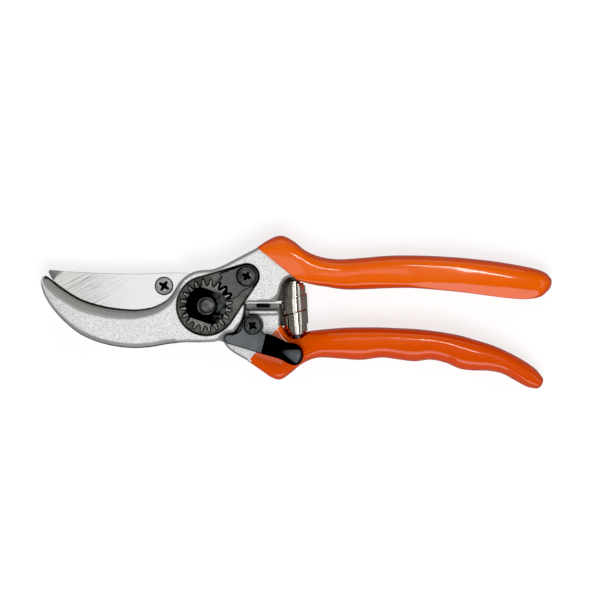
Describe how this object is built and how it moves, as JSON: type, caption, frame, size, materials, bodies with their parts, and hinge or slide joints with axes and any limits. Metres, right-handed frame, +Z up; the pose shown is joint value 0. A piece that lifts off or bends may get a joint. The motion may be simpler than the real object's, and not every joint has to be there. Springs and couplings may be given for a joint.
{
  "type": "bypass pruning shears",
  "caption": "Bypass pruning shears with forged handles, dipped grips, replaceable blade, volute spring and thumb latch, closed and locked.",
  "frame": {"origin": "middle of the footprint, on the surface that the closed shears lie on", "axes": "+X from the jaws to the handle ends, +Y to the hook handle's side, +Z up, along the pivot bolt away from its head"},
  "size_m": [0.2148, 0.0644, 0.0219],
  "materials": {
    "silver_coat": "forged, silver powder coat with a fine sparkle",
    "orange_vinyl": "smooth glossy dipped vinyl",
    "blade_steel": "ground and polished",
    "zinc_steel": "zinc plated",
    "black_steel": "black oxide, satin",
    "grey_steel": "blued grey, satin",
    "bronze": "turned",
    "black_vinyl": "glossy dipped vinyl",
    "spring_steel": "plain",
    "nickel_plate": "nickel plated",
    "black_rubber": "moulded"
  },
  "bodies": {
    "hook_side": {"upper_handle": "silver_coat", "upper_grip": "orange_vinyl", "pivot_bolt": "black_steel", "pivot_nut": "black_steel", "toothed_disc": "grey_steel", "lock_segment": "grey_steel", "segment_screw": "black_steel", "volute_spring": "nickel_plate", "upper_spring_peg": "zinc_steel"},
    "blade_side": {"lower_handle": "silver_coat", "lower_grip": "orange_vinyl", "cutting_blade": "blade_steel", "blade_screw": "zinc_steel", "blade_screw_nut": "zinc_steel", "pivot_bush": "bronze", "stop_buffer": "black_rubber", "lower_spring_peg": "zinc_steel", "latch_screw": "black_steel", "latch_spring_washer": "spring_steel"},
    "latch": {"latch_plate": "grey_steel", "latch_sleeve": "black_vinyl"}
  },
  "joints": [
    {"name": "handle_open", "type": "hinge", "parent": "hook_side", "child": "blade_side", "pos_m": [-0.03785, 0.00272, 0.008], "axis": [0, 0, -1], "range_deg": [0, 38], "deforming": ["volute_spring"]},
    {"name": "latch_swing", "type": "hinge", "parent": "blade_side", "child": "latch", "pos_m": [-0.01835, -0.00558, 0.014], "axis": [0, 0, 1], "range_deg": [0, 21]}
  ],
  "couplings": [
    {"joint": "latch_swing", "follows": "handle_open", "ratio": 0.55}
  ]
}
